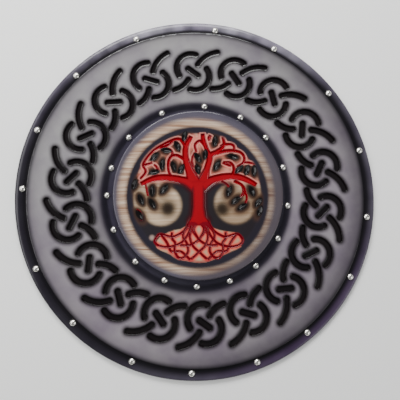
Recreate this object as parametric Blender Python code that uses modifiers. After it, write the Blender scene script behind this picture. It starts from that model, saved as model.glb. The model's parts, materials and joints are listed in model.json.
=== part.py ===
"""Wooden round shield: a carved board, a raised carved boss and two rings of nails.

The shield lies on its back: +Z leaves its face, +Y is its top edge and the origin is
the middle of the back. Lengths are in metres, angles in degrees.
"""
import math
from itertools import combinations

import bmesh
import bpy
from mathutils import Matrix, Vector
from mathutils.geometry import intersect_line_line_2d

# Clearance between pieces that touch
SEAT_GAP = 0.0003

# Board
SHIELD_DIAMETER = 0.610
BOARD_THICKNESS = 0.012
RIM_LEDGE_WIDTH = 0.0205
RIM_LEDGE_DROP = 0.003
RIM_ROUNDING = 0.0045
BACK_CHAMFER = 0.002
BOARD_SIDES = 80

# Knotwork ring on the board: each knot is a bar, two loops and two straps
KNOT_PITCH = 0.0743
KNOT_RING_TURN = 2.3
KNOT_GROOVE_WIDTH = 0.0084
KNOT_GROOVE_DEPTH = 0.0032
KNOT_WALL_ANGLE = 72
KNOT_BAR_LENGTH = 0.0290
KNOT_BAR_LEAN = -38
KNOT_LOOP_RADIUS = 0.0246
KNOT_LOOP_CENTRE = (-0.0032, 0.0078)
KNOT_LOOP_START = 222
KNOT_LOOP_END = 58
KNOT_LOOP_SPANS = 6
KNOT_STRAP_START = (0.0070, 0.0095)
KNOT_OUTER_STRAP_END = (0.0480, 0.0345)
KNOT_INNER_STRAP_END = (0.0365, 0.0315)
KNOT_STRAP_TURN = 60
KNOT_STRAP_SPANS = 4

# Boss, the raised disc in the middle
BOSS_RADIUS = 0.142
BOSS_THICKNESS = 0.010
BOSS_ROUNDING = 0.0025
BOSS_SIDES = 68

# Tree of life, cut into the boss inside a plain border. A leaf's stations are places along it and
# widths there, as shares of its length and width.
TREE_BORDER = 0.033
TREE_CENTRE = (-0.002, -0.004)
LIMB_DEPTH = 0.0024
LIMB_WALL_ANGLE = 50
LEAF_LENGTH = 0.0175
LEAF_WIDTH = 0.0078
LEAF_DEPTH = 0.0026
LEAF_STATIONS = ((-0.5, 0.06), (-0.22, 0.84), (0.22, 0.84), (0.5, 0.06))
ROOT_WIDTH = 0.0027
ROOT_STUMP_WIDTH = 0.0062
ROOT_DEPTH = 0.0021
ROOT_CROSSING_GAP = 0.0036
ROOT_SPAN = 0.009
ROOT_STUMP_LENGTH = 0.024
LIMB_SPAN = 0.012

# Waste of a carved stroke: its height above the surface, and how near its walls come to meeting
WASTE_LIFT = 0.001
WEDGE_SHARE = 0.97

# Edges sharper than this stay crisp
SHARP_ANGLE = 25

# Ends of a turned profile nearer than this are one
MERGE_DISTANCE = 0.00001

# Walls of a stroke that bend by more than this are split into flat faces
FLATNESS = 0.1

# Nails. The shoulder of the dome is a place out from its middle and up from its edge, as shares.
NAIL_HEAD_DIAMETER = 0.011
NAIL_HEAD_HEIGHT = 0.0036
NAIL_HEAD_EDGE = 0.0006
NAIL_SHOULDER = (0.62, 0.76)
NAIL_SIDES = 8
RIM_NAIL_STANDOFF = 0.0070
BOSS_NAIL_STANDOFF = 0.0102

# The nails were spaced by eye: clock angles from the top edge, seen from the face
RIM_NAIL_CLOCK = (6, 27.5, 52, 74.5, 97.5, 118.5, 142, 161,
                  182.5, 202, 224.5, 245.5, 272, 292, 314.5, 338.5)
BOSS_NAIL_CLOCK = (4, 28.5, 49.5, 72, 97, 119, 141.5, 160.5,
                   181.5, 202, 223.5, 247.5, 269.5, 287, 309.5, 336)

# Places that follow from the sizes
SHIELD_RADIUS = SHIELD_DIAMETER / 2
FIELD_RADIUS = SHIELD_RADIUS - RIM_LEDGE_WIDTH
LEDGE_TOP = BOARD_THICKNESS - RIM_LEDGE_DROP
BOSS_BOTTOM = BOARD_THICKNESS + SEAT_GAP
BOSS_TOP = BOSS_BOTTOM + BOSS_THICKNESS
BOSS_NAIL_RADIUS = BOSS_RADIUS + BOSS_NAIL_STANDOFF
RIM_NAIL_RADIUS = FIELD_RADIUS + RIM_NAIL_STANDOFF
TREE_RADIUS = BOSS_RADIUS - TREE_BORDER
KNOT_RING_RADIUS = (BOSS_RADIUS + FIELD_RADIUS) / 2
KNOT_COUNT = round(2 * math.pi * KNOT_RING_RADIUS / KNOT_PITCH)

# Limbs of the tree: points from the trunk outwards as shares of the tree's radius,
# each with the half width there
LIMBS = {
    "trunk": ((0.01, 0.27, 0.130), (0.01, 0.08, 0.106), (0.01, -0.17, 0.106), (0.01, -0.33, 0.130),
              (0.01, -0.44, 0.190)),
    "left_bough": ((-0.03, 0.13, 0.100), (-0.13, 0.20, 0.080), (-0.25, 0.25, 0.055), (-0.40, 0.28, 0.048),
                   (-0.56, 0.29, 0.044), (-0.71, 0.26, 0.038), (-0.86, 0.19, 0.028)),
    "right_bough": ((0.05, 0.13, 0.100), (0.16, 0.21, 0.080), (0.31, 0.28, 0.055), (0.47, 0.31, 0.048),
                    (0.63, 0.30, 0.044), (0.77, 0.25, 0.038), (0.90, 0.18, 0.028)),
    "left_leader": ((-0.05, 0.20, 0.100), (-0.12, 0.39, 0.062), (-0.18, 0.58, 0.044), (-0.18, 0.77, 0.038),
                    (-0.10, 0.93, 0.026)),
    "right_leader": ((0.07, 0.20, 0.090), (0.14, 0.42, 0.044), (0.185, 0.60, 0.042), (0.14, 0.73, 0.028),
                     (0.09, 0.88, 0.030), (0.08, 0.97, 0.026)),
    "left_curl": ((-0.17, 0.55, 0.022), (-0.31, 0.63, 0.019), (-0.41, 0.61, 0.016), (-0.45, 0.51, 0.016),
                  (-0.44, 0.38, 0.014), (-0.40, 0.31, 0.012)),
    "left_spray": ((-0.18, 0.77, 0.024), (-0.30, 0.89, 0.019), (-0.56, 0.78, 0.015), (-0.72, 0.66, 0.013),
                   (-0.83, 0.49, 0.013), (-0.79, 0.38, 0.013), (-0.87, 0.27, 0.011)),
    "right_fork": ((0.19, 0.64, 0.040), (0.32, 0.71, 0.030), (0.41, 0.80, 0.022), (0.39, 0.92, 0.015)),
    "right_spray": ((0.27, 0.67, 0.028), (0.48, 0.71, 0.022), (0.65, 0.69, 0.017), (0.72, 0.61, 0.015),
                    (0.70, 0.52, 0.014), (0.61, 0.46, 0.012)),
    "right_curl": ((0.53, 0.32, 0.022), (0.56, 0.43, 0.018), (0.51, 0.52, 0.014), (0.40, 0.53, 0.012)),
    "crown_curl": ((0.13, 0.76, 0.018), (0.04, 0.86, 0.016), (-0.04, 0.80, 0.014), (-0.02, 0.69, 0.011)),
    "right_twig": ((0.56, 0.24, 0.020), (0.67, 0.18, 0.018), (0.72, 0.10, 0.016), (0.70, 0.01, 0.011)),
    "right_twig_tip": ((0.71, 0.12, 0.014), (0.75, -0.01, 0.013), (0.73, -0.11, 0.010)),
}

# Leaves: place as shares of the tree's radius, and lean from +X
LEAVES = (
    (-0.20, 0.93, 75), (-0.31, 0.78, 118), (-0.48, 0.71, 172), (-0.66, 0.61, 50), (-0.54, 0.49, 80),
    (-0.66, 0.37, 15), (-0.37, 0.46, 110), (-0.25, 0.42, 60), (0.00, 0.60, 125), (0.12, 0.65, 80),
    (0.00, 0.42, 105), (0.27, 0.86, 82), (0.54, 0.62, 166), (0.30, 0.48, 55), (0.64, 0.42, 45),
    (0.76, 0.41, 70), (0.87, 0.40, 88), (-0.96, 0.18, 72), (-0.69, 0.08, 88), (-0.51, 0.11, 50),
    (-0.86, -0.05, 115), (-0.69, -0.11, 120), (-0.88, -0.28, 125), (0.48, 0.08, 70), (0.83, 0.08, 114),
    (0.58, -0.06, 38), (0.68, -0.16, 30), (0.93, -0.09, 52), (0.95, -0.22, 70),
)

# Root strands of the right side, from the trunk outwards, as shares of the tree's radius; the left side
# is their mirror image about the trunk's axis. Strands cross over and under only below the stumps' foot.
TREE_AXIS = 0.014
STUMP_FOOT = -0.50
ROOT_STRANDS = {
    "border": ((0.10, -0.40), (0.17, -0.56), (0.28, -0.70), (0.44, -0.76), (0.55, -0.76), (0.64, -0.73),
               (0.68, -0.67), (0.64, -0.60), (0.59, -0.57), (0.45, -0.61), (0.39, -0.61), (0.26, -0.54),
               (0.14, -0.41)),
    "deep": ((0.14, -0.42), (0.23, -0.52), (0.25, -0.62), (0.20, -0.70), (0.18, -0.77), (0.18, -0.84),
             (0.23, -0.91), (0.31, -0.93), (0.37, -0.85), (0.38, -0.77), (0.37, -0.70), (0.42, -0.64),
             (0.42, -0.55)),
    "side": ((0.59, -0.57), (0.50, -0.69), (0.46, -0.78), (0.43, -0.83), (0.34, -0.83), (0.27, -0.84),
             (0.15, -0.95)),
    "cross": ((-0.07, -0.41), (-0.07, -0.52), (-0.03, -0.59), (0.02, -0.66), (0.09, -0.71), (0.16, -0.74),
              (0.29, -0.74)),
    "foot": ((0.06, -0.41), (0.14, -0.54), (0.15, -0.62), (0.13, -0.70), (0.09, -0.77), (0.01, -0.84),
             (-0.05, -0.90), (-0.10, -0.94)),
}


def new_collection(name, parent=None):
    """A collection of its own in the scene, or within another."""
    collection = bpy.data.collections.new(name)
    (parent or bpy.context.scene.collection).children.link(collection)
    return collection


def finish_material(name, colour, roughness, metallic=0.0):
    """A plain Principled finish."""
    material = bpy.data.materials.new(name)
    material.use_nodes = True
    shader = material.node_tree.nodes["Principled BSDF"]
    shader.inputs["Base Color"].default_value = (*colour, 1)
    shader.inputs["Roughness"].default_value = roughness
    shader.inputs["Metallic"].default_value = metallic
    material.diffuse_color = (*colour, 1)
    return material


def place_mesh(name, mesh, collection, material=None):
    """An object for a mesh, linked to a collection."""
    thing = bpy.data.objects.new(name, mesh)
    if material is not None and not mesh.materials:
        mesh.materials.append(material)
    collection.objects.link(thing)
    return thing


def profile_mesh(name, points):
    """An open profile in the XZ plane, for a Screw to turn."""
    mesh = bpy.data.meshes.new(name)
    corners = [(radius, 0, height) for radius, height in points]
    edges = [(i, i + 1) for i in range(len(points) - 1)]
    mesh.from_pydata(corners, edges, [])
    return mesh


def turn_profile(thing, sides):
    """Turns an object's profile round Z into a closed solid."""
    screw = thing.modifiers.new("turned", "SCREW")
    screw.steps = sides
    screw.render_steps = sides
    screw.use_merge_vertices = True
    screw.merge_threshold = MERGE_DISTANCE
    screw.use_smooth_shade = False


def cut(thing, strokes):
    """Cuts a collection of strokes, which may run into each other, out of an object."""
    boolean = thing.modifiers.new(strokes.name, "BOOLEAN")
    boolean.operation = "DIFFERENCE"
    boolean.solver = "EXACT"
    boolean.operand_type = "COLLECTION"
    boolean.collection = strokes


def settle(thing):
    """Makes an object's modifiers its mesh and shades it as a turned piece."""
    evaluated = thing.evaluated_get(bpy.context.evaluated_depsgraph_get())
    mesh = bpy.data.meshes.new_from_object(evaluated)
    thing.modifiers.clear()
    thing.data = mesh
    mesh.shade_smooth()
    mesh.set_sharp_from_angle(angle=math.radians(SHARP_ANGLE))


def turned_disc(name, outline, sides, collection, material):
    """A turned piece whose flat face and flat back are one face each."""
    disc = place_mesh(name, profile_mesh(name, outline), collection, material)
    turn_profile(disc, sides)
    settle(disc)
    mesh = bmesh.new()
    mesh.from_mesh(disc.data)
    bmesh.ops.holes_fill(mesh, edges=mesh.edges, sides=0)
    bmesh.ops.recalc_face_normals(mesh, faces=mesh.faces)
    mesh.to_mesh(disc.data)
    mesh.free()
    return disc


def rounded_corner(radius, height, rounding, steps):
    """Profile points round an outer top corner, from its flat top to its side."""
    points = []
    for step in range(steps + 1):
        angle = math.radians(90 * (1 - step / steps))
        across = radius - rounding + rounding * math.cos(angle)
        up = height - rounding + rounding * math.sin(angle)
        points.append((across, up))
    return points


def arc_points(centre, radius, start, end, spans):
    """Points along an arc, both ends included."""
    points = []
    for step in range(spans + 1):
        angle = math.radians(start + (end - start) * step / spans)
        points.append(Vector(centre) + radius * Vector((math.cos(angle), math.sin(angle))))
    return points


def bowed_points(start, end, turn, spans):
    """Points along the arc from start to end that turns clockwise by the given angle."""
    start, end = Vector(start), Vector(end)
    chord = end - start
    half_turn = math.radians(turn) / 2
    radius = chord.length / (2 * math.sin(half_turn))
    to_middle = Vector((-chord.y, chord.x)).normalized() * radius * math.cos(half_turn)
    centre = (start + end) / 2 - to_middle
    first = math.degrees(math.atan2(start.y - centre.y, start.x - centre.x))
    return arc_points(centre, radius, first, first - turn, spans)


def smooth_path(knots, span):
    """A smooth curve through the knots, with a point about every span."""
    padded = [2 * knots[0] - knots[1], *knots, 2 * knots[-1] - knots[-2]]
    path = []
    for before, start, end, after in zip(padded, padded[1:], padded[2:], padded[3:]):
        steps = max(1, round((end - start).length / span))
        for step in range(steps):
            t = step / steps
            bend = (2 * before - 5 * start + 4 * end - after) * t * t
            twist = (3 * start - before - 3 * end + after) * t * t * t
            path.append(start + ((end - before) * t + bend + twist) / 2)
    path.append(knots[-1].copy())
    return path


def stroke_sideways(path, index):
    """The vector across a path at one of its points, longer at a bend, as in a mitre."""
    arriving = (path[max(index, 1)] - path[max(index, 1) - 1]).normalized()
    last = len(path) - 1
    leaving = (path[min(index + 1, last)] - path[min(index, last - 1)]).normalized()
    ahead = (arriving + leaving).normalized()
    return Vector((-ahead.y, ahead.x)) / ahead.dot(leaving)


def carve_stroke(strokes, path, half_widths, surface, depth_limit, wall_angle, flat_floor=True):
    """Adds the waste of one carved stroke to a collection: a wedge lofted along a path.

    The walls slope at wall_angle from the stroke's edges on the surface, down to
    depth_limit or to where they meet.
    """
    mesh = bmesh.new()
    slope = math.tan(math.radians(wall_angle))
    rings = []
    for index, (point, half_width) in enumerate(zip(path, half_widths)):
        side = stroke_sideways(path, index)
        depth = min(depth_limit, half_width * slope * WEDGE_SHARE)
        floor = half_width - depth / slope
        top = half_width + WASTE_LIFT / slope
        corners = [(top, WASTE_LIFT), (-top, WASTE_LIFT), (-floor, -depth), (floor, -depth)]
        if not flat_floor:
            corners[2:] = [(0, -depth)]
        rings.append([mesh.verts.new((*(point + side * across), surface + up)) for across, up in corners])
    for ring, following in zip(rings, rings[1:]):
        for corner in range(len(ring)):
            mesh.faces.new((ring[corner - 1], ring[corner], following[corner], following[corner - 1]))
    mesh.faces.new(rings[0])
    mesh.faces.new(rings[-1])
    bmesh.ops.connect_verts_nonplanar(mesh, angle_limit=math.radians(FLATNESS), faces=mesh.faces)
    bmesh.ops.recalc_face_normals(mesh, faces=mesh.faces)
    data = bpy.data.meshes.new(strokes.name)
    mesh.to_mesh(data)
    mesh.free()
    stroke = place_mesh(f"{strokes.name}_{len(strokes.objects) + 1:02d}", data, strokes)
    stroke.hide_render = True
    stroke.display_type = "WIRE"


def knot_strokes():
    """The centre lines of one knot: local x runs clockwise round the ring, y outwards."""
    half_bar = KNOT_BAR_LENGTH / 2
    lean = math.radians(KNOT_BAR_LEAN)
    bar_end = Vector((math.cos(lean), math.sin(lean))) * half_bar
    loop = arc_points(KNOT_LOOP_CENTRE, KNOT_LOOP_RADIUS, KNOT_LOOP_START, KNOT_LOOP_END, KNOT_LOOP_SPANS)
    straps = [bowed_points(KNOT_STRAP_START, end, KNOT_STRAP_TURN, KNOT_STRAP_SPANS)
              for end in (KNOT_OUTER_STRAP_END, KNOT_INNER_STRAP_END)]
    inner_loop = [-point for point in loop]
    inner_strap = [-point for point in straps[1]]
    return [[-bar_end, bar_end], loop, straps[0], inner_loop, inner_strap]


def knotwork_strokes(cutters):
    """The grooves of the whole ring of knots."""
    strokes = new_collection("knotwork_groove", cutters)
    half_groove = KNOT_GROOVE_WIDTH / 2
    for knot in range(KNOT_COUNT):
        clock = math.radians(360 * knot / KNOT_COUNT - KNOT_RING_TURN)
        turn = Matrix.Rotation(-clock, 2)
        for stroke in knot_strokes():
            path = [turn @ (point + Vector((0, KNOT_RING_RADIUS))) for point in stroke]
            carve_stroke(strokes, path, [half_groove] * len(path), BOARD_THICKNESS, KNOT_GROOVE_DEPTH,
                         KNOT_WALL_ANGLE)
    return strokes


def on_tree(place):
    """A place given as shares of the tree's radius, in metres."""
    return Vector(TREE_CENTRE) + Vector(place) * TREE_RADIUS


def path_lengths(path):
    """How far along the path each of its points is."""
    lengths = [0.0]
    for before, after in zip(path, path[1:]):
        lengths.append(lengths[-1] + (after - before).length)
    return lengths


def limb_widths(stations, path):
    """Half widths along a limb's path, read between its stations."""
    lengths = path_lengths(path)
    marks = []
    for x, y, _ in stations:
        place = on_tree((x, y))
        nearest = min(range(len(path)), key=lambda index: (path[index] - place).length)
        marks.append(lengths[nearest])
    widths = []
    for length in lengths:
        after = next((i for i, mark in enumerate(marks) if mark >= length and i > 0), len(marks) - 1)
        share = (length - marks[after - 1]) / (marks[after] - marks[after - 1])
        start, end = stations[after - 1][2], stations[after][2]
        widths.append((start + (end - start) * min(max(share, 0), 1)) * TREE_RADIUS)
    return widths


def limb_strokes(cutters):
    """Trunk, boughs, branches and curls."""
    strokes = new_collection("limb", cutters)
    for stations in LIMBS.values():
        path = smooth_path([on_tree((x, y)) for x, y, _ in stations], LIMB_SPAN)
        carve_stroke(strokes, path, limb_widths(stations, path), BOSS_TOP, LIMB_DEPTH, LIMB_WALL_ANGLE)
    return strokes


def leaf_strokes(cutters):
    """Almond leaves, each one cut of a V tool that dips and lifts."""
    strokes = new_collection("leaf", cutters)
    wall_angle = math.degrees(math.atan2(LEAF_DEPTH, LEAF_WIDTH / 2))
    for x, y, lean in LEAVES:
        along = Vector((math.cos(math.radians(lean)), math.sin(math.radians(lean))))
        path = [on_tree((x, y)) + along * LEAF_LENGTH * share for share, _ in LEAF_STATIONS]
        half_widths = [LEAF_WIDTH / 2 * width for _, width in LEAF_STATIONS]
        carve_stroke(strokes, path, half_widths, BOSS_TOP, LEAF_DEPTH, wall_angle, flat_floor=False)
    return strokes


def root_paths():
    """Both sides' root strands, the left ones mirrored about the trunk."""
    paths = []
    for side in (1, -1):
        for places in ROOT_STRANDS.values():
            points = [on_tree((TREE_AXIS + side * (x - TREE_AXIS), y)) for x, y in places]
            paths.append(smooth_path(points, ROOT_SPAN))
    return paths


def strand_crossings(paths):
    """Each crossing of two strands below the stumps, as lengths along both."""
    found = []
    for first, second in combinations(range(len(paths)), 2):
        spots = [(first, second, *spot) for spot in path_crossings(paths[first], paths[second])]
        found.extend(spots)
    return found


def path_crossings(path, other):
    """Lengths along two paths where they cross."""
    spots = []
    along, other_along = path_lengths(path), path_lengths(other)
    for i, (a, b) in enumerate(zip(path, path[1:])):
        for j, (c, d) in enumerate(zip(other, other[1:])):
            hit = intersect_line_line_2d(a, b, c, d)
            if hit is not None and hit.y < on_tree((0, STUMP_FOOT)).y:
                spots.append((along[i] + (hit - a).length, other_along[j] + (hit - c).length))
    return spots


def strand_dives(paths):
    """Where each strand passes under another, so that over and under take turns."""
    crossings = strand_crossings(paths)
    met = [sorted([c[2] for c in crossings if c[0] == n] + [c[3] for c in crossings if c[1] == n])
           for n in range(len(paths))]
    dives = [[] for _ in paths]
    for first, second, length, other_length in crossings:
        first_turn = met[first].index(length) % 2
        second_turn = met[second].index(other_length) % 2
        if first_turn > second_turn:
            dives[first].append(length)
        else:
            dives[second].append(other_length)
    return dives


def point_at(path, lengths, length):
    """The point a given length along a path."""
    for index in range(1, len(path)):
        if lengths[index] >= length:
            share = (length - lengths[index - 1]) / (lengths[index] - lengths[index - 1])
            return path[index - 1].lerp(path[index], share)
    return path[-1].copy()


def strand_stretches(path, dives):
    """The stretches of a strand that show, between the crossings it passes under."""
    lengths = path_lengths(path)
    bounds = [0.0]
    for dive in sorted(dives):
        bounds.extend((dive - ROOT_CROSSING_GAP / 2, dive + ROOT_CROSSING_GAP / 2))
    bounds.append(lengths[-1])
    stretches = []
    for start, end in zip(bounds[::2], bounds[1::2]):
        if end - start < ROOT_WIDTH:
            continue
        inner = [(s, p) for s, p in zip(lengths, path) if start + ROOT_WIDTH / 2 < s < end - ROOT_WIDTH / 2]
        marks = [start, *[s for s, _ in inner], end]
        points = [point_at(path, lengths, start), *[p for _, p in inner], point_at(path, lengths, end)]
        stretches.append((marks, points))
    return stretches


def root_strokes(cutters):
    """Interlaced roots, thicker where they leave the trunk."""
    strokes = new_collection("root", cutters)
    paths = root_paths()
    for path, dives in zip(paths, strand_dives(paths)):
        leaves_trunk = path[0].y > on_tree((0, STUMP_FOOT)).y
        for marks, points in strand_stretches(path, dives):
            widths = []
            for mark in marks:
                stump = max(0, 1 - mark / ROOT_STUMP_LENGTH) if leaves_trunk else 0
                widths.append(ROOT_WIDTH + (ROOT_STUMP_WIDTH - ROOT_WIDTH) * stump)
            half_widths = [width / 2 for width in widths]
            carve_stroke(strokes, points, half_widths, BOSS_TOP, ROOT_DEPTH, LIMB_WALL_ANGLE,
                         flat_floor=False)
    return strokes


def build_board(collection, cutters, material):
    """The round board with its lower rim ledge and the ring of knots."""
    outline = [(FIELD_RADIUS, BOARD_THICKNESS), (FIELD_RADIUS, LEDGE_TOP)]
    outline += rounded_corner(SHIELD_RADIUS, LEDGE_TOP, RIM_ROUNDING, 2)
    outline += [(SHIELD_RADIUS, BACK_CHAMFER), (SHIELD_RADIUS - BACK_CHAMFER, 0)]
    board = turned_disc("board", outline, BOARD_SIDES, collection, material)
    cut(board, knotwork_strokes(cutters))
    settle(board)


def build_boss(collection, cutters, material):
    """The raised disc with the tree of life."""
    outline = [*rounded_corner(BOSS_RADIUS, BOSS_TOP, BOSS_ROUNDING, 2), (BOSS_RADIUS, BOSS_BOTTOM)]
    boss = turned_disc("boss", outline, BOSS_SIDES, collection, material)
    cut(boss, limb_strokes(cutters))
    cut(boss, root_strokes(cutters))
    cut(boss, leaf_strokes(cutters))
    settle(boss)


def nail_mesh():
    """The profile of one domed nail head, seated on z = 0."""
    radius = NAIL_HEAD_DIAMETER / 2
    dome = NAIL_HEAD_HEIGHT - NAIL_HEAD_EDGE
    across, up = NAIL_SHOULDER
    shoulder = (radius * across, NAIL_HEAD_EDGE + dome * up)
    outline = [(0, NAIL_HEAD_HEIGHT), shoulder, (radius, NAIL_HEAD_EDGE), (radius, 0), (0, 0)]
    return profile_mesh("nail_head", outline)


def build_nails(name, clock_angles, ring_radius, seat, collection, material):
    """A ring of nails, each its own piece."""
    outline = nail_mesh()
    for number, clock in enumerate(clock_angles, start=1):
        nail = place_mesh(f"{name}_{number:02d}", outline, collection, material)
        angle = math.radians(clock)
        nail.location = (ring_radius * math.sin(angle), ring_radius * math.cos(angle), seat + SEAT_GAP)
        nail.rotation_euler = (0, 0, -angle)
        turn_profile(nail, NAIL_SIDES)


def build_shield():
    """The whole shield."""
    for thing in list(bpy.data.objects):
        bpy.data.objects.remove(thing, do_unlink=True)
    parts = new_collection("round_shield")
    cutters = new_collection("cutters")
    painted_wood = finish_material("painted wood", (0.30, 0.28, 0.31), 0.30)
    lacquered_wood = finish_material("lacquered pine", (0.52, 0.40, 0.28), 0.35)
    polished_nail = finish_material("nickelled nail", (0.86, 0.85, 0.82), 0.12, 1.0)
    build_board(parts, cutters, painted_wood)
    build_boss(parts, cutters, lacquered_wood)
    build_nails("rim_nail", RIM_NAIL_CLOCK, RIM_NAIL_RADIUS, LEDGE_TOP, parts, polished_nail)
    build_nails("boss_nail", BOSS_NAIL_CLOCK, BOSS_NAIL_RADIUS, BOARD_THICKNESS, parts, polished_nail)


build_shield()
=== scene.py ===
# %% [markdown]
# # A carved and airbrushed round shield
# The real object is a round wooden board with a ring of routed knotwork and a second, thicker disc
# in the middle, its boss, into which a tree of life is carved. The face was airbrushed in grey,
# black, purple and red, lacquered to a gloss, and studded with domed nickelled nails.
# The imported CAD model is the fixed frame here: every piece below lies where its solid lies.

import json
import math
from itertools import combinations

import bmesh
import bpy
import numpy as np
from mathutils import Matrix, Vector
from mathutils.geometry import intersect_line_line_2d

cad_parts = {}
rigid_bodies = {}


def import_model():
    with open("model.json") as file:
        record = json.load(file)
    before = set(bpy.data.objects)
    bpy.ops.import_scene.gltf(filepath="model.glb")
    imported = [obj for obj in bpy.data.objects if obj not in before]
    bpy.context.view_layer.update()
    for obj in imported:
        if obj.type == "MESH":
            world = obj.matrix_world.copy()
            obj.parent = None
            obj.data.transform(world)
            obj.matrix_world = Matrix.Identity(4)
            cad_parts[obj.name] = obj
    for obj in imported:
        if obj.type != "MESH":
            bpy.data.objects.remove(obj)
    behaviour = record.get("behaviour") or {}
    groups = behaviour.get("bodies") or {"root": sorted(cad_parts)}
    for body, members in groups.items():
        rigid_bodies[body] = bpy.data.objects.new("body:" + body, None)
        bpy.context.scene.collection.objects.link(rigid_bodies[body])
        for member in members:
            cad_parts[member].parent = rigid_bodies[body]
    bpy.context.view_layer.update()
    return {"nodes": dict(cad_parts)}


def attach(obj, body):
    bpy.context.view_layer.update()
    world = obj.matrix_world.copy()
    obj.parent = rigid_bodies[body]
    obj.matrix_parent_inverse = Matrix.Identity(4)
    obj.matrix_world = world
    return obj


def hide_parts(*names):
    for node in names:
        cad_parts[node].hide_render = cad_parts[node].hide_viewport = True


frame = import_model()
print("nodes in the frame:", len(frame["nodes"]))

# %% [markdown]
# ## Sizes
# All lengths are in metres, as in the CAD source, and the middle of the back is the origin. The
# board is 12 mm thick, with a ledge 3 mm lower round its rim, and the boss is a 10 mm disc on it.

# %% Sizes of the board and the boss
MM = 0.001
# Air between pieces that sit on each other, as in the CAD model
SEAT_GAP = 0.3 * MM
# Corners closer than this are one corner
WELD = 0.01 * MM
SHIELD_RADIUS = 305 * MM
BOARD_TOP = 12 * MM
LEDGE_TOP = 9 * MM
FIELD_RADIUS = 284.5 * MM
BOSS_RADIUS = 142 * MM
BOSS_BOTTOM = BOARD_TOP + SEAT_GAP
BOSS_TOP = BOSS_BOTTOM + 10 * MM
TREE_RADIUS = 109 * MM
TREE_CENTRE = Vector((-2 * MM, -4 * MM))
print(f"board {2 * SHIELD_RADIUS:.3f} m across, boss {2 * BOSS_RADIUS:.3f} m")

# %% [markdown]
# ## Small helpers
# A piece is made as a bmesh and finished as an object at the origin that rides on the shield's one
# body. Round work, such as the boss and the nail heads, is a profile spun round an axis, as on a
# lathe. Colours are written as people write them for the web and turned to linear light once.

# %% Helpers for pieces and colours
def placed(name, data, collection=None):
    """A new object at the origin for some data, in the scene or in a collection."""
    thing = bpy.data.objects.new(name, data)
    (collection or bpy.context.scene.collection).objects.link(thing)
    return thing


def as_object(name, mesh, collection=None):
    """An object with a bmesh as its mesh."""
    data = bpy.data.meshes.new(name)
    mesh.to_mesh(data)
    mesh.free()
    return placed(name, data, collection)


def finish_piece(name, mesh, material, *nodes):
    """Makes a bmesh a piece of the shield that stands for one or more CAD nodes."""
    piece = as_object(name, mesh)
    piece.data.materials.append(material)
    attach(piece, "root")
    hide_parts(*nodes)
    return piece


def smooth_shade(mesh, sharp_angle):
    """Shades a bmesh smooth, apart from edges sharper than an angle in degrees."""
    for face in mesh.faces:
        face.smooth = True
    for edge in mesh.edges:
        edge.smooth = edge.calc_face_angle(0) < math.radians(sharp_angle)


def report(name, mesh):
    """Prints how many faces, triangles and open edges a bmesh has."""
    print(f"{name}: {len(mesh.faces)} faces, {sum(len(f.verts) - 2 for f in mesh.faces)} triangles,",
          "open edges:", sum(len(e.link_faces) != 2 for e in mesh.edges))


def heading(angle):
    """The direction of an angle in degrees, turned from x towards y."""
    return Vector((math.cos(math.radians(angle)), math.sin(math.radians(angle))))


def close(mesh):
    """Closes the open rims of a bmesh and turns all of its faces outwards."""
    bmesh.ops.holes_fill(mesh, edges=[e for e in mesh.edges if e.is_boundary], sides=0)
    bmesh.ops.recalc_face_normals(mesh, faces=mesh.faces)


def spin(mesh, angle, steps, centre=(0, 0), **how):
    """Spins the whole of a bmesh round an upright axis, through an angle in radians."""
    bmesh.ops.spin(mesh, geom=mesh.faces[:] + mesh.edges[:] + mesh.verts[:], cent=(*centre, 0),
                   axis=(0, 0, 1), angle=angle, steps=steps, **how)


def turned(profile, steps):
    """A closed solid turned round the z axis from a profile in mm, like work on a lathe."""
    mesh = bmesh.new()
    corners = [mesh.verts.new((r * MM, 0, z * MM)) for r, z in profile]
    for a, b in zip(corners, corners[1:]):
        mesh.edges.new((a, b))
    spin(mesh, 2 * math.pi, steps, use_merge=True)
    bmesh.ops.remove_doubles(mesh, verts=mesh.verts, dist=WELD)
    close(mesh)
    return mesh


def extruded(mesh, edges):
    """Extrudes edges and gives the new edges and the new corners."""
    grown = bmesh.ops.extrude_edge_only(mesh, edges=edges)["geom"]
    return ([g for g in grown if isinstance(g, kind)] for kind in (bmesh.types.BMEdge, bmesh.types.BMVert))


def linear(hex_colour):
    """A web colour as linear red, green and blue."""
    values = [int(hex_colour[i:i + 2], 16) / 255 for i in (1, 3, 5)]
    return [v / 12.92 if v <= 0.04045 else ((v + 0.055) / 1.055) ** 2.4 for v in values]


print("mid grey is", [round(v, 3) for v in linear("#808080")])

# %% [markdown]
# ## The routed groove
# Each knot of the ring is five grooves cut with a router: a bar, two loops and two straps. The waste
# of a groove is drawn first as a flat strip, by sliding a line across it along a bar or round an arc.
# Insets then pull the strip in and down, which gives the rounded lip, the steep wall and the flat
# floor in one go, at its ends and corners too.

# %% Section of a groove
# Half the width of a groove, and of the strip that it is drawn from
GROOVE_HALF = 4.2 * MM
LIP_ROUNDING = 1.0 * MM
STRIP_HALF = GROOVE_HALF + LIP_ROUNDING + 0.6 * MM
STRIP_LIFT = 0.15 * MM
END_ROUNDING = 5.0 * MM
# Each step of the section, in mm: how far in from the strip's edge, and how deep below the surface
GROOVE_STEPS = [(1.007, -0.086), (1.343, -0.331), (1.551, -0.691), (2.236, -2.80), (2.42, -3.09),
                (2.72, -3.2)]


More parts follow.
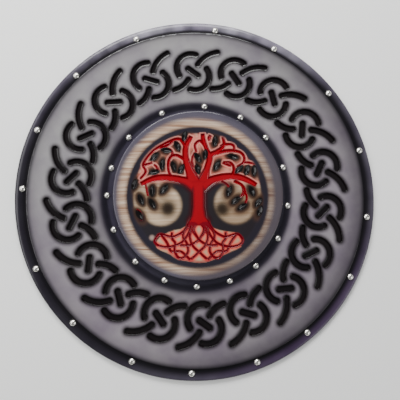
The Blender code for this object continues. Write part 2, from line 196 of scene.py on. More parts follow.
def groove_waste(strip):
    """Pulls a flat strip in and down through the section of a groove, and closes its top."""
    bmesh.ops.recalc_face_normals(strip, faces=strip.faces)
    strip.faces.ensure_lookup_table()
    if strip.faces[0].normal.z < 0:
        bmesh.ops.reverse_faces(strip, faces=strip.faces)
    corners = [v for v in strip.verts if len(v.link_edges) == 2]
    bmesh.ops.bevel(strip, geom=corners, affect="VERTICES", offset=END_ROUNDING, segments=6,
                    profile=0.5, material=-1)
    reach, height = 0.0, STRIP_LIFT
    floor = list(strip.faces)
    for across, down in GROOVE_STEPS:
        bmesh.ops.inset_region(strip, faces=floor, thickness=across * MM - reach, depth=down * MM - height,
                               use_boundary=True, use_even_offset=True)
        reach, height = across * MM, down * MM
    close(strip)
    return strip


def cross_line(centre, direction, half_width):
    """A new strip that starts as a line across a groove."""
    strip = bmesh.new()
    side = Vector((-direction.y, direction.x)) * half_width
    strip.edges.new([strip.verts.new((*end, STRIP_LIFT)) for end in (centre + side, centre - side)])
    return strip


def bar_waste(start, end, spans):
    """The waste of a straight groove."""
    along = end - start
    strip = cross_line(start, along.normalized(), STRIP_HALF)
    edges = list(strip.edges)
    for _ in range(spans):
        edges, corners = extruded(strip, edges)
        bmesh.ops.translate(strip, vec=(*(along / spans), 0), verts=corners)
    return groove_waste(strip)


def arc_waste(centre, radius, start, turn, spans):
    """The waste of a groove along an arc, from a start angle through a turn, in degrees."""
    spoke = heading(start)
    strip = cross_line(centre + spoke * radius, Vector((-spoke.y, spoke.x)), STRIP_HALF)
    spin(strip, math.radians(turn), spans, centre, use_merge=False)
    return groove_waste(strip)


trial = bar_waste(Vector((0, 0)), Vector((29 * MM, 0)), 4)
report("a bar's waste", trial)
trial.free()

# %% [markdown]
# ## One knot of the ring
# The ring is one knot, eighteen times. A knot looks the same upside down, so half of its grooves are
# the other half turned by 180 degrees; only the outer strap is longer than the inner one, because
# the ring is wider there. In a knot's own drawing x runs clockwise round the ring and y outwards.

# %% Grooves of a knot
KNOT_COUNT = 18
# The whole ring is turned by this angle against the clock; all angles of a knot are in degrees
KNOT_TURN = 2.3
RING_RADIUS = (BOSS_RADIUS + FIELD_RADIUS) / 2
BAR_LENGTH = 29 * MM
BAR_LEAN = -38
LOOP_CENTRE = Vector((-3.2 * MM, 7.8 * MM))
LOOP_RADIUS = 24.6 * MM
LOOP_START = 222
LOOP_TURN = -164
STRAP_START = Vector((7.0 * MM, 9.5 * MM))
OUTER_STRAP_END = Vector((48.0 * MM, 34.5 * MM))
INNER_STRAP_END = Vector((36.5 * MM, 31.5 * MM))
STRAP_TURN = 60
STRIP_REACH = STRIP_HALF - GROOVE_HALF
ARC_SPAN = 5.6 * MM


def bowed_arc(start, end, turn):
    """Centre, radius and start angle of the arc that turns clockwise from one point to another."""
    chord = end - start
    half_turn = math.radians(turn) / 2
    radius = chord.length / (2 * math.sin(half_turn))
    centre = (start + end) / 2 - Vector((-chord.y, chord.x)).normalized() * radius * math.cos(half_turn)
    return centre, radius, math.degrees(math.atan2(start.y - centre.y, start.x - centre.x))


def knot_arcs():
    """The arcs of a knot as centre, radius, start and turn, without the ends' extra reach."""
    outer, inner = [(*bowed_arc(STRAP_START, end, STRAP_TURN), -STRAP_TURN)
                    for end in (OUTER_STRAP_END, INNER_STRAP_END)]
    loop = (LOOP_CENTRE, LOOP_RADIUS, LOOP_START, LOOP_TURN)
    upside_down = [(-c, r, start + 180, turn) for c, r, start, turn in (loop, inner)]
    return [loop, outer, *upside_down]


def knot_wastes():
    """The wastes of the five grooves of one knot."""
    reach = heading(BAR_LEAN) * (BAR_LENGTH / 2 + STRIP_REACH)
    wastes = [bar_waste(-reach, reach, 5)]
    for centre, radius, start, turn in knot_arcs():
        extra = math.degrees(STRIP_REACH / radius)
        spans = round(math.radians(-turn) * radius / ARC_SPAN)
        wastes.append(arc_waste(centre, radius, start + extra, turn - 2 * extra, spans))
    return wastes


print("arcs of a knot, radius in mm:", [round(r / MM, 1) for _, r, _, _ in knot_arcs()])

# %% [markdown]
# ## The board
# The board was sawn and turned as one disc. Cutting ninety grooves into a whole disc is slow for
# Blender, and the ring repeats, so only one knot's share of the board is made, a wedge of 20 degrees.
# Three neighbouring knots are cut out of it, and the wedge is then copied round the middle.

# %% The wedge of the board before it is cut
SHARE = 2 * math.pi / KNOT_COUNT
HUB = 130 * MM
WEDGE_STEPS = 12
# From the hub over the field, the ledge and the rounded rim to the back, in mm
BOARD_PROFILE = [
    (130, 12), (283.8, 12), (284.3, 11.85), (284.5, 11.4), (284.5, 9.4), (284.9, 9), (287, 9), (289.5, 9),
    (292, 9), (296, 9), (300.5, 9), (302.2, 8.66), (303.7, 7.68), (304.65, 6.2), (305, 4.5), (305, 2.4),
    (304.6, 1.6), (303.4, 0.4), (302.6, 0), (130, 0)]


def board_wedge():
    """A closed wedge of the board, one knot wide and centred on +Y."""
    wedge = bmesh.new()
    corners = [wedge.verts.new((0, r * MM, z * MM)) for r, z in BOARD_PROFILE]
    wedge.faces.new(corners)
    bmesh.ops.rotate(wedge, verts=corners, cent=(0, 0, 0), matrix=Matrix.Rotation(SHARE / 2, 3, "Z"))
    spin(wedge, -SHARE, WEDGE_STEPS, use_merge=False)
    bmesh.ops.recalc_face_normals(wedge, faces=wedge.faces)
    return wedge


print("a wedge is", round(math.degrees(SHARE)), "degrees wide")


# %% Carve a blank and cut the wedge
def carve(blank, wastes):
    """Cuts many wastes out of a blank at once, removes them and returns the carved bmesh."""
    strokes = bpy.data.collections.new("strokes")
    bpy.context.scene.collection.children.link(strokes)
    for waste in wastes:
        as_object("stroke", waste, strokes)
    body = as_object("blank", blank)
    cut = body.modifiers.new("carving", "BOOLEAN")
    cut.operation = "DIFFERENCE"
    cut.solver = "EXACT"
    cut.operand_type = "COLLECTION"
    cut.collection = strokes
    carved = bmesh.new()
    carved.from_object(body, bpy.context.evaluated_depsgraph_get())
    for thing in [body, *strokes.objects]:
        bpy.data.objects.remove(thing, do_unlink=True)
    bpy.data.collections.remove(strokes)
    report("carved blank", carved)
    return carved


def cut_wedge():
    """The wedge with the grooves of its own knot and of both neighbours."""
    wastes = []
    for neighbour in (-1, 0, 1):
        turn = Matrix.Rotation(-neighbour * SHARE, 4, "Z")
        for waste in knot_wastes():
            bmesh.ops.translate(waste, vec=(0, RING_RADIUS, BOARD_TOP), verts=waste.verts)
            bmesh.ops.transform(waste, matrix=turn, verts=waste.verts)
            wastes.append(waste)
    return carve(board_wedge(), wastes)


wedge = cut_wedge()

# %% [markdown]
# ## Cells for the paint
# Paint is stored on the corners of the mesh, and a flat face with few corners can't hold a soft
# airbrushed edge. So the face is sliced into a grid of small cells, like graph paper. The grid is
# even about the wedge's middle, so that the slices of neighbouring wedges meet.

# %% Slice the field and copy the wedge round
FIELD_CELL = 2.5 * MM
ON_WALL = 1e-6


def slice_evenly(mesh, faces, cell, low, high):
    """Slices faces along a square grid in x and y that has a line through x = 0."""
    geom = [*faces, *{e for f in faces for e in f.edges}, *{v for f in faces for v in f.verts}]
    for axis in (0, 1):
        normal = Vector((1 - axis, axis, 0))
        for step in range(math.ceil(low[axis] / cell), math.floor(high[axis] / cell) + 1):
            geom = bmesh.ops.bisect_plane(mesh, geom=geom, dist=1e-7, plane_co=normal * step * cell,
                                          plane_no=normal)["geom"]


def whole_board(wedge):
    """Copies the open wedge round the middle and closes the board."""
    half_share = SHARE / 2
    for side in (-1, 1):
        wall = Vector((math.cos(half_share) * side, -math.sin(half_share), 0))
        ends = [f for f in wedge.faces if f.normal.dot(wall) > 0.999
                and abs(f.calc_center_median().dot(wall)) < ON_WALL]
        bmesh.ops.delete(wedge, geom=ends, context="FACES")
    hub = [f for f in wedge.faces if f.normal.z < 0.1 and f.normal.y < -0.9
           and f.calc_center_median().to_2d().length < HUB + MM]
    bmesh.ops.delete(wedge, geom=hub, context="FACES")
    spin(wedge, -SHARE * (KNOT_COUNT - 1), KNOT_COUNT - 1, use_duplicate=True)
    bmesh.ops.remove_doubles(wedge, verts=wedge.verts, dist=WELD)
    close(wedge)
    bmesh.ops.rotate(wedge, verts=wedge.verts, cent=(0, 0, 0),
                     matrix=Matrix.Rotation(math.radians(KNOT_TURN), 3, "Z"))
    return wedge


field_faces = [f for f in wedge.faces if f.calc_center_median().z > BOARD_TOP - WELD and f.normal.z > 0.99]
# The wedge's field is less than 104 mm wide and lies more than 120 mm from the middle
slice_evenly(wedge, field_faces, FIELD_CELL, (-52 * MM, 120 * MM), (52 * MM, FIELD_RADIUS))
board_mesh = whole_board(wedge)
smooth_shade(board_mesh, sharp_angle=35)
report("board", board_mesh)

# %% [markdown]
# ## The tree of life, drawn as strokes
# Limbs, roots and leaves were carved with a V-shaped cutter that goes deeper where it has to cut
# wider. Each stroke is drawn as a line with a width at each of its stations. Places and widths are
# thousandths of the tree's radius, and a smooth curve is run through them.

# %% Stations of the limbs, leaves and roots
# Each station: its place across and up the tree, and the width of the stroke there
LIMBS = {
    "trunk": ((10, 270, 130), (10, 80, 106), (10, -170, 106), (10, -330, 130), (10, -440, 190)),
    "left_bough": ((-30, 130, 100), (-130, 200, 80), (-250, 250, 55), (-400, 280, 48), (-560, 290, 44),
        (-710, 260, 38), (-860, 190, 28)),
    "right_bough": ((50, 130, 100), (160, 210, 80), (310, 280, 55), (470, 310, 48), (630, 300, 44),
        (770, 250, 38), (900, 180, 28)),
    "left_leader": ((-50, 200, 100), (-120, 390, 62), (-180, 580, 44), (-180, 770, 38), (-100, 930, 26)),
    "right_leader": ((70, 200, 90), (140, 420, 44), (185, 600, 42), (140, 730, 28), (90, 880, 30),
        (80, 970, 26)),
    "left_curl": ((-170, 550, 22), (-310, 630, 19), (-410, 610, 16), (-450, 510, 16), (-440, 380, 14),
        (-400, 310, 12)),
    "left_spray": ((-180, 770, 24), (-300, 890, 19), (-560, 780, 15), (-720, 660, 13), (-830, 490, 13),
        (-790, 380, 13), (-870, 270, 11)),
    "right_fork": ((190, 640, 40), (320, 710, 30), (410, 800, 22), (390, 920, 15)),
    "right_spray": ((270, 670, 28), (480, 710, 22), (650, 690, 17), (720, 610, 15), (700, 520, 14),
        (610, 460, 12)),
    "right_curl": ((530, 320, 22), (560, 430, 18), (510, 520, 14), (400, 530, 12)),
    "crown_curl": ((130, 760, 18), (40, 860, 16), (-40, 800, 14), (-20, 690, 11)),
    "right_twig": ((560, 240, 20), (670, 180, 18), (720, 100, 16), (700, 10, 11)),
    "right_twig_tip": ((710, 120, 14), (750, -10, 13), (730, -110, 10)),
}
# Fine twigs that only the visual model has: in the CAD model they would cost many triangles
TWIGS = {
    "left_wisp": ((-841, 473, 10), (-773, 491, 13), (-699, 512, 9)),
    "left_inner_wisp": ((-352, 875, 14), (-380, 864, 14), (-435, 805, 14), (-530, 762, 14),
        (-625, 751, 12)),
    "left_stem": ((-660, 485, 10), (-618, 440, 12), (-598, 385, 10)),
    "top_stub": ((198, 946, 18), (180, 908, 22), (179, 869, 14)),
    "fork_loop": ((359, 776, 18), (408, 804, 18), (477, 812, 16), (533, 805, 14), (564, 777, 14),
        (566, 714, 12)),
    "curl_tongue": ((387, 517, 9), (446, 493, 12), (508, 473, 10)),
    "right_wisp": ((720, 526, 9), (793, 526, 12), (883, 502, 10)),
    "left_leaf_hook": ((-405, 619, 9), (-386, 678, 11), (-435, 730, 11), (-522, 722, 9)),
    "bay_hook": ((-917, -198, 9), (-876, -237, 12), (-845, -292, 12), (-850, -364, 9)),
    "bay_stem": ((-806, 216, 10), (-785, 158, 9), (-772, 85, 10), (-755, 12, 9)),
    "right_bay_stem": ((363, 234, 10), (404, 216, 9), (458, 175, 11), (491, 127, 9)),
    "right_inner_stem": ((682, 146, 9), (695, 72, 11), (663, 1, 11), (607, -26, 9)),
    "crown_stem": ((-49, 670, 9), (-82, 588, 11), (-81, 506, 11), (-62, 454, 9)),
}
# Middle of each leaf, and its lean in degrees
LEAVES = (
    (-200, 930, 75), (-310, 780, 118), (-480, 710, 172), (-660, 610, 50), (-540, 490, 80),
    (-660, 370, 15), (-370, 460, 110), (-250, 420, 60), (0, 600, 125), (120, 650, 80), (0, 420, 105),
    (270, 860, 82), (540, 620, 166), (300, 480, 55), (640, 420, 45), (760, 410, 70), (870, 400, 88),
    (-960, 180, 72), (-690, 80, 88), (-510, 110, 50), (-860, -50, 115), (-690, -110, 120),
    (-880, -280, 125), (480, 80, 70), (830, 80, 114), (580, -60, 38), (680, -160, 30), (930, -90, 52),
    (950, -220, 70),
)
# The strands on the right of the tree's axis; those on the left are their mirror images. Above the
# stumps' foot they are still one with the trunk, and don't weave
TREE_AXIS = 14
STUMP_FOOT = -500
ROOT_STRANDS = {
    "border": ((100, -400), (170, -560), (280, -700), (440, -760), (550, -760), (640, -730), (680, -670),
        (640, -600), (590, -570), (450, -610), (390, -610), (260, -540), (140, -410)),
    "deep": ((140, -420), (230, -520), (250, -620), (200, -700), (180, -770), (180, -840), (230, -910),
        (310, -930), (370, -850), (380, -770), (370, -700), (420, -640), (420, -550)),
    "side": ((590, -570), (500, -690), (460, -780), (430, -830), (340, -830), (270, -840), (150, -950)),
    "cross": ((-70, -410), (-70, -520), (-30, -590), (20, -660), (90, -710), (160, -740), (290, -740)),
    "foot": ((60, -410), (140, -540), (150, -620), (130, -700), (90, -770), (10, -840), (-50, -900),
        (-100, -940)),
}
print(len(LIMBS), "limbs,", len(TWIGS), "twigs and", len(LEAVES), "leaves")

# %% [markdown]
# ## From stations to curves
# A Catmull-Rom curve passes through all of its stations, so the drawing stays where it was measured.
# The roots weave: where two strands cross, one of them stops short on both sides, and over and under
# take turns along each strand.

# %% Curves with widths
STROKE_SPAN = 2.6 * MM
ROOT_WIDTH = 2.7 * MM
ROOT_STUMP_WIDTH = 6.2 * MM
ROOT_STUMP_LENGTH = 24 * MM
ROOT_CROSSING_GAP = 3.6 * MM


def on_tree(place):
    """A place given in thousandths of the tree's radius, in metres."""
    return TREE_CENTRE + Vector([n / 1000 for n in place]) * TREE_RADIUS


def smooth_path(knots, span):
    """A smooth curve through the knots, with a point about every span."""
    padded = [2 * knots[0] - knots[1], *knots, 2 * knots[-1] - knots[-2]]
    path = []
    for before, start, end, after in zip(padded, padded[1:], padded[2:], padded[3:]):
        steps = max(1, round((end - start).length / span))
        for step in range(steps):
            t = step / steps
            bend = (2 * before - 5 * start + 4 * end - after) * t * t
            twist = (3 * start - before - 3 * end + after) * t * t * t
            path.append(start + ((end - before) * t + bend + twist) / 2)
    path.append(knots[-1].copy())
    return path


def path_lengths(path):
    """How far along the path each of its points is."""
    return [0.0, *np.cumsum([(b - a).length for a, b in zip(path, path[1:])])]


def limb_strokes(limbs):
    """Each limb as a path and its half widths."""
    strokes = []
    for stations in limbs.values():
        places = [on_tree(station[:2]) for station in stations]
        path = smooth_path(places, STROKE_SPAN)
        lengths = path_lengths(path)
        marks = [lengths[min(range(len(path)), key=lambda i: (path[i] - place).length)] for place in places]
        strokes.append((path, np.interp(lengths, marks, [w / 1000 * TREE_RADIUS for _, _, w in stations])))
    return strokes


print("the trunk has", len(limb_strokes(LIMBS)[0][0]), "points")


# %% Weave the roots
def crossings(paths):
    """Each crossing of two strands below the stumps' foot, as lengths along both."""
    found = []
    foot = on_tree((0, STUMP_FOOT)).y
    along = [path_lengths(path) for path in paths]
    for m, n in combinations(range(len(paths)), 2):
        for i, (a, b) in enumerate(zip(paths[m], paths[m][1:])):
            for j, (c, d) in enumerate(zip(paths[n], paths[n][1:])):
                hit = intersect_line_line_2d(a, b, c, d)
                if hit is not None and hit.y < foot:
                    found.append((m, n, along[m][i] + (hit - a).length, along[n][j] + (hit - c).length))
    return found


def strand_dives(paths):
    """Where each strand passes under another, so that over and under take turns."""
    found = crossings(paths)
    met = [sorted([c[2] for c in found if c[0] == n] + [c[3] for c in found if c[1] == n])
           for n in range(len(paths))]
    dives = [[] for _ in paths]
    for m, n, length, other in found:
        if met[m].index(length) % 2 > met[n].index(other) % 2:
            dives[m].append(length)
        else:
            dives[n].append(other)
    return dives


def root_strokes():
    """The visible stretches of all root strands, thicker where they leave the trunk."""
    paths = []
    for side in (1, -1):
        for places in ROOT_STRANDS.values():
            points = [on_tree((TREE_AXIS + side * (x - TREE_AXIS), y)) for x, y in places]
            paths.append(smooth_path(points, STROKE_SPAN))
    strokes = []
    for path, dives in zip(paths, strand_dives(paths)):
        lengths = path_lengths(path)
        bounds = [0.0, *sorted(d + s * ROOT_CROSSING_GAP / 2 for d in dives for s in (-1, 1)), lengths[-1]]
        stump = ROOT_STUMP_WIDTH - ROOT_WIDTH if path[0].y > on_tree((0, STUMP_FOOT)).y else 0
        for start, end in zip(bounds[::2], bounds[1::2]):
            if end - start > ROOT_WIDTH:
                count = max(2, round((end - start) / STROKE_SPAN) + 1)
                marks = np.linspace(start, end, count)
                xy = [np.interp(marks, lengths, [p[axis] for p in path]) for axis in (0, 1)]
                widths = ROOT_WIDTH + stump * np.clip(1 - marks / ROOT_STUMP_LENGTH, 0, 1)
                strokes.append(([Vector(p) for p in zip(*xy)], widths / 2))
    return strokes


# %% Leaves, and all strokes of the tree
LEAF_LENGTH = 17.5 * MM
LEAF_WIDTH = 7.8 * MM


def leaf_strokes():
    """Each leaf as a straight path whose width swells and shrinks."""
    strokes = []
    shares = np.linspace(-0.5, 0.5, 9)
    widths = LEAF_WIDTH / 2 * np.maximum(0.06, (1 - (2 * shares) ** 2) ** 0.85)
    for x, y, lean in LEAVES:
        along = heading(lean) * LEAF_LENGTH
        strokes.append(([on_tree((x, y)) + along * float(share) for share in shares], widths))
    return strokes


limb_lines, twig_lines = limb_strokes(LIMBS), limb_strokes(TWIGS)
root_lines, leaf_lines = root_strokes(), leaf_strokes()
print("strokes:", len(limb_lines), "limbs,", len(root_lines), "root stretches,", len(leaf_lines), "leaves")

# %% [markdown]
# ## Carving the boss
# A stroke's waste is its cross-section pulled along the path. The section is a few points across:
# a softened lip, the sloping wall, and a floor that is flat in a limb and a rounded V in a leaf or
# root. The real lips are slightly rounded by sanding and lacquer, and that is what catches light.

# %% Wastes of the carving
LIMB_DEPTH = 2.4 * MM
ROOT_DEPTH = 2.1 * MM
LEAF_DEPTH = 2.6 * MM
LIMB_WALL_ANGLE = 50
SANDING = 0.3 * MM


def half_section(half_width, depth_limit, wall_angle, flat_floor):
    """Points of half a section from the lip to the middle: across, and up from the surface."""
    slope = math.tan(math.radians(wall_angle))
    depth = min(depth_limit, half_width * slope * 0.97)
    floor = half_width - depth / slope
    lip = min(SANDING, half_width * 0.3)
    # The bare shares below round the lip and the foot of the wall
    inner = (floor * 0.5 if flat_floor else 0.0, -depth * (1 if flat_floor else 0.94))
    return [(half_width + 3 * lip, lip * 0.7), (half_width + lip * 0.2, -lip * 0.28),
            (half_width - lip * 0.65, -lip * 0.65 * slope),
            (floor + (half_width - floor) * 0.16, -depth * 0.84),
            (floor * 0.9 + 0.02 * half_width, -depth * (0.985 if flat_floor else 0.90)), inner]


def stroke_waste(path, half_widths, depth_limit, wall_angle, flat_floor):
    """Pulls a section along a path, with a width of its own at each point."""
    waste = bmesh.new()
    ring = None
    last = len(path) - 1
    for index, half_width in enumerate(half_widths):
        arriving = (path[max(index, 1)] - path[max(index, 1) - 1]).normalized()
        leaving = (path[min(index + 1, last)] - path[min(index, last - 1)]).normalized()
        ahead = (arriving + leaving).normalized()
        side = Vector((-ahead.y, ahead.x)) / ahead.dot(leaving)
        half = half_section(float(half_width), depth_limit, wall_angle, flat_floor)
        across = [*half, *[(-a, up) for a, up in reversed(half[:-1])]]
        places = [(*(path[index] + side * a), BOSS_TOP + up) for a, up in across]
        if ring is None:
            ring = [waste.verts.new(place) for place in places]
            waste.faces.new(ring)
            edges = list(waste.edges)
            continue
        edges, corners = extruded(waste, edges)
        twin = {e.other_vert(v): v for v in corners for e in v.link_edges if e.other_vert(v) in ring}
        ring = [twin[v] for v in ring]
        for vert, place in zip(ring, places):
            vert.co = place
    close(waste)
    bmesh.ops.triangulate(waste, faces=waste.faces)
    return waste


print("half a limb's section in mm:", [(round(a / MM, 1), round(up / MM, 1)) for a, up in
                                       half_section(4 * MM, LIMB_DEPTH, LIMB_WALL_ANGLE, True)])

# %% Turn the disc and carve it
BOSS_STEPS = 144
ROUNDEL_RADIUS = 116 * MM
# From the edge of the back over the side and the rounded shoulder to the roundel, in mm
BOSS_PROFILE = [
    (141.6, 12.3), (142, 12.7), (142, 19.8), (141.8, 20.8), (141.2, 21.6), (140.4, 22.1), (139.4, 22.3),
    (137.6, 22.3), (135.4, 22.3), (133, 22.3), (130, 22.3), (127, 22.3), (124, 22.3), (121, 22.3),
    (118, 22.3), (ROUNDEL_RADIUS / MM, 22.3)]

leaf_wall = math.degrees(math.atan2(LEAF_DEPTH, LEAF_WIDTH / 2))
wastes = [stroke_waste(*line, *cut) for lines, cut in (
    (limb_lines, (LIMB_DEPTH, LIMB_WALL_ANGLE, True)),
    (root_lines + twig_lines, (ROOT_DEPTH, LIMB_WALL_ANGLE, False)),
    (leaf_lines, (LEAF_DEPTH, leaf_wall, False)),
) for line in lines]
boss_mesh = carve(turned(BOSS_PROFILE, BOSS_STEPS), wastes)

# %% [markdown]
# ## Cells for the tree's paint
# The airbrush leaves soft edges among the limbs as well, so the roundel and the flat floors of the
# limbs are sliced like the field, only finer. The walls of the cuts meet at crisp lines, as a cutter
# leaves them, so their edges are kept sharp there and only the turned shoulder is shaded round.

# %% Slice the roundel for its paint
TREE_CELL = 1.4 * MM
# Faces of a cut that meet at more than this angle, in degrees, meet at a crisp line
WALL_ANGLE = 13
roundel = [f for f in boss_mesh.faces if f.normal.z > 0.99
           and f.calc_center_median().z > BOSS_TOP - LEAF_DEPTH
           and f.calc_center_median().to_2d().length < ROUNDEL_RADIUS - 0.5 * MM]
slice_evenly(boss_mesh, roundel, TREE_CELL, [-ROUNDEL_RADIUS] * 2, [ROUNDEL_RADIUS] * 2)
smooth_shade(boss_mesh, sharp_angle=33)
for edge in boss_mesh.edges:
    if edge.verts[0].co.xy.length < ROUNDEL_RADIUS and edge.calc_face_angle(0) > math.radians(WALL_ANGLE):
        edge.smooth = False
report("boss", boss_mesh)

# %% [markdown]
# ## Domed nails
# Each nail head is a thin stamped dome with a short upright edge. Its profile is spun into one head,
# which is copied round both rings. They were hammered in by hand, so their spacing is uneven, as the
# CAD model has it, and each head sits at a slightly different tilt.

# %% Nail heads
RIM_NAIL_CLOCK = (6, 27.5, 52, 74.5, 97.5, 118.5, 142, 161, 182.5, 202, 224.5, 245.5, 272, 292, 314.5, 338.5)
BOSS_NAIL_CLOCK = (4, 28.5, 49.5, 72, 97, 119, 141.5, 160.5, 181.5, 202, 223.5, 247.5, 269.5, 287, 309.5, 336)
RIM_NAIL_RADIUS = FIELD_RADIUS + 7.0 * MM
BOSS_NAIL_RADIUS = BOSS_RADIUS + 10.2 * MM
# From the top of the dome to the middle of its underside, in mm
NAIL_PROFILE = [(0, 3.6), (1.2, 3.52), (2.3, 3.24), (3.3, 2.74), (4.2, 2.03), (4.9, 1.27), (5.32, 0.72),
                (5.5, 0.38), (5.44, 0.08), (5.2, 0), (0, 0)]
NAIL_STEPS = 24
NAIL_TILT = 1.2
head_mesh = turned(NAIL_PROFILE, NAIL_STEPS)
smooth_shade(head_mesh, sharp_angle=50)
report("one nail head", head_mesh)


def nail_ring(name, clock_angles, ring_radius, seat, material):
    """A ring of nails, each its own piece, at clock angles in degrees from the top."""
    chance = np.random.default_rng(len(name))
    for number, clock in enumerate(clock_angles, start=1):
        head = head_mesh.copy()
        tilt = np.radians(chance.uniform(-NAIL_TILT, NAIL_TILT, 2))
        angle = math.radians(clock)
        place = Matrix.Translation(
            (ring_radius * math.sin(angle), ring_radius * math.cos(angle), seat + SEAT_GAP))
        lean = Matrix.Rotation(tilt[0], 4, "X") @ Matrix.Rotation(tilt[1], 4, "Y")
        bmesh.ops.transform(head, matrix=place @ lean, verts=head.verts)
        nail = finish_piece(f"{name}_{number:02d}_head", head, material, f"{name}_{number:02d}")
    print(name, "heads:", len(clock_angles))


# %% [markdown]
# ## Airbrushing
# Paint is laid on in passes, as with an airbrush. Each pass has a colour and a coverage at every
# corner of the mesh, and covers what lies under it. The result is one colour attribute: its colour
# is the paint's, and its alpha says how much of the wood the paint hides. Soft edges come from
# distances, in mm here: to the middle of the shield, and to the strokes of the carving.

# %% Helpers for the airbrush
def corner_places(mesh):
    """The corners of a bmesh as rows of x, y and z in mm."""
    return np.array([v.co for v in mesh.verts]) / MM


def fade(values, none, full):
    """0 at one value and 1 at another, with soft ends."""
    t = np.clip((values - none) / (full - none), 0, 1)
    return t * t * (3 - 2 * t)


def towards(clock, middle, none, full):
    """1 near a clock angle and 0 far from it, all in degrees."""
    return fade(np.abs((clock - middle + 180) % 360 - 180), none, full)


def spray(paint, hex_colour, coverage):
    """Lays a pass of one colour over the paint so far."""
    coverage = np.clip(coverage, 0, 1)
    total = coverage + paint[:, 3] * (1 - coverage)
    share = (coverage / np.maximum(total, 1e-6))[:, None]
    paint[:, :3] += (np.array(linear(hex_colour)) - paint[:, :3]) * share
    paint[:, 3] = total


print("coverage half way out of a soft edge:", fade(1.0, 2.0, 0.0))


# %% Distances to the carving
def stroke_distance(places, strokes, round_ends=False):
    """How far each place is outside the nearest stroke's edge; negative inside."""
    nearest = np.full(len(places), np.inf)
    for path, half_widths in strokes:
        points, lengths, halves = (np.array(part) / MM for part in (
            [tuple(p) for p in path], path_lengths(path), half_widths))
        ends = [(points[0], points[0] - points[1]), (points[-1], points[-1] - points[-2])]
        past = [(places - end) @ out / np.hypot(*out) for end, out in ends]
        for index, (a, b) in enumerate(zip(points, points[1:])):
            span = b - a
            share = np.clip((places - a) @ span / (span @ span), 0, 1)
            away = places - a - share[:, None] * span
            edge = np.hypot(*away.T) - (halves[index] + (halves[index + 1] - halves[index]) * share)
            if not round_ends:
                reach = max(halves[index], halves[index + 1])
                if lengths[index] < reach:
                    edge = np.maximum(edge, past[0])
                if lengths[-1] - lengths[index + 1] < reach:
                    edge = np.maximum(edge, past[1])
            np.minimum(nearest, edge, out=nearest)
    return nearest


def outline_distance(places, outline):
    """How far each place is outside a closed outline; negative inside."""
    nearest = np.full(len(places), np.inf)
    inside = np.zeros(len(places), bool)
    for a, b in zip(outline, np.roll(outline, -1, axis=0)):
        span = b - a
        away = places - a - np.clip((places - a) @ span / (span @ span), 0, 1)[:, None] * span
        np.minimum(nearest, np.hypot(*away.T), out=nearest)
        if a[1] != b[1]:
            crosses = (a[1] > places[:, 1]) != (b[1] > places[:, 1])
            inside ^= crosses & (places[:, 0] < a[0] + (places[:, 1] - a[1]) / span[1] * span[0])
    return np.where(inside, -nearest, nearest)


def store_paint(mesh, paint):
    """Keeps the paint on a bmesh as a colour attribute."""
    layer = mesh.verts.layers.float_color.new("airbrush")
    for vert, colour in zip(mesh.verts, paint):
        vert[layer] = colour
    print(f"paint on {len(paint)} corners hides {np.mean(paint[:, 3]):.0%} of the wood")


# %% [markdown]
# ## Paint of the board
# Grey covers the face. Black follows the grooves with a soft halo, and rings the field's edge and
# the boss. The ledge outside is a streaky purple grey. The back was left bare; only overspray from
# the rim reaches a few centimetres onto it.

# %% Grooves and shares for the board's paint
# The black ring round the boss was sprayed a little off its middle, in mm
RING_SHIFT = np.array([-3.0, -2.0])


def groove_lines():
    """Centre lines of the grooves of a knot and its two neighbours, as strokes with round ends."""
    lean = heading(BAR_LEAN) * (BAR_LENGTH / 2 - GROOVE_HALF)
    lines = [[-lean, lean]]
    for centre, radius, start, turn in knot_arcs():
        held_back = math.degrees(GROOVE_HALF / radius)
        angles = np.linspace(start - held_back, start + turn + held_back, 16)
        lines.append([centre + heading(angle) * radius for angle in angles])
    strokes = []
    for neighbour in (-1, 0, 1):
        turn = Matrix.Rotation(-neighbour * SHARE, 2)
        for line in lines:
            strokes.append(([turn @ (p + Vector((0, RING_RADIUS))) for p in line], [GROOVE_HALF] * len(line)))
    return strokes


def in_own_share(radius, clock):
    """Places turned round the middle into the wedge of the first knot, from radius and clock angle."""
    angle = np.radians(clock + KNOT_TURN)
    angle -= np.round(angle / SHARE) * SHARE
    return np.column_stack([radius * np.sin(angle), radius * np.cos(angle)])


print("lines of the grooves:", len(groove_lines()))


